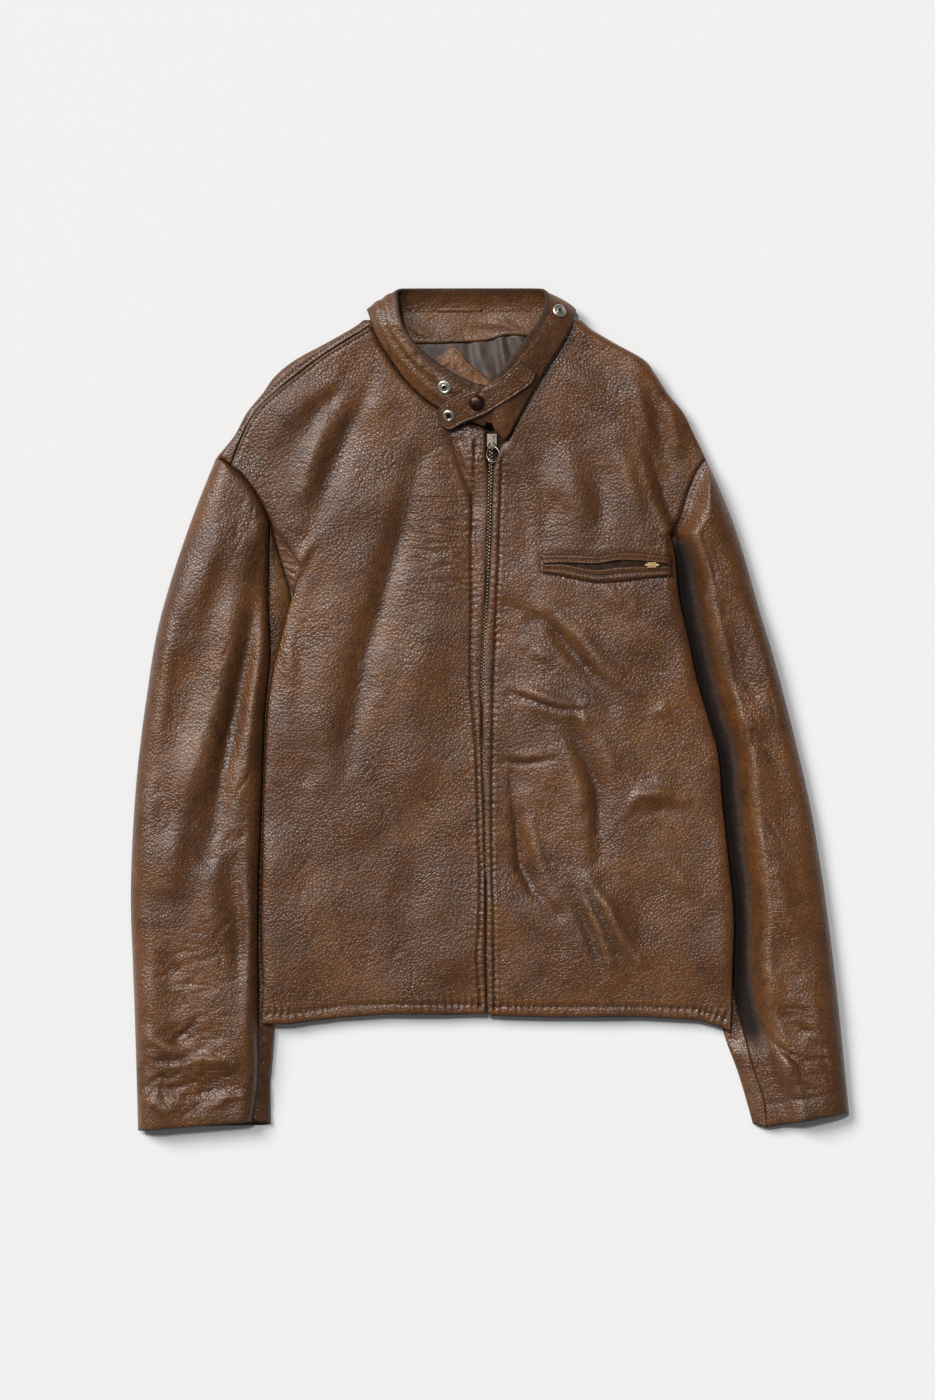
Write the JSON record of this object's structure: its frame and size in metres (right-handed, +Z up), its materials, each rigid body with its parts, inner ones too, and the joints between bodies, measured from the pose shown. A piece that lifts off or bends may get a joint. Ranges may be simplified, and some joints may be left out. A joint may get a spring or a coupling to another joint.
{
  "type": "leather jacket",
  "caption": "Brown leather jacket laid flat on its back: band collar with snap tab, closed front zip, zipped chest pocket, long two-piece sleeves and a plain hem.",
  "frame": {"origin": "centre of the bounding box in plan, on the surface that the back lies on", "axes": "+X towards the wearer's left, +Y towards the collar, +Z up out of the fronts"},
  "size_m": [0.6878, 0.8064, 0.0374],
  "materials": {
    "leather": "semi-gloss, worn, pebbled grain",
    "leather_inner": "semi-gloss, creased",
    "leather_worn": "scuffed, matt",
    "lining": "satin weave",
    "zip_tape": "matt woven tape",
    "nickel": "worn nickel plate",
    "brass": "dulled brass",
    "dark_metal": "dark oxidised, worn to copper"
  },
  "bodies": {
    "jacket": {"back": "leather", "back_underarm_right": "leather", "front_right": "leather", "front_left": "leather", "sleeve_right_upper": "leather", "sleeve_right_under": "leather", "sleeve_left_upper": "leather", "sleeve_left_under": "leather", "collar": "leather", "neck_facing": "leather_inner", "hanger_loop": "leather_inner", "lining": "lining", "lining_patch": "leather_worn", "collar_tab": "leather", "snap_stud_right": "nickel", "snap_stud_left": "nickel", "snap_socket_tab": "nickel", "snap_cap_tab": "dark_metal", "zip_tape_right": "zip_tape", "zip_tape_left": "zip_tape", "zip_slider": "nickel", "pocket_welt_upper": "leather", "pocket_welt_lower": "leather", "pocket_zip_tape": "zip_tape", "pocket_slider": "brass"},
    "zip_pull": {"zip_pull_eye": "nickel", "zip_pull_ring": "nickel"}
  },
  "joints": [
    {"name": "zip_pull_swing", "type": "hinge", "parent": "jacket", "child": "zip_pull", "pos_m": [0.0022, 0.2552, 0.02036], "axis": [-1, 0, 0], "range_deg": [0, 90]}
  ]
}
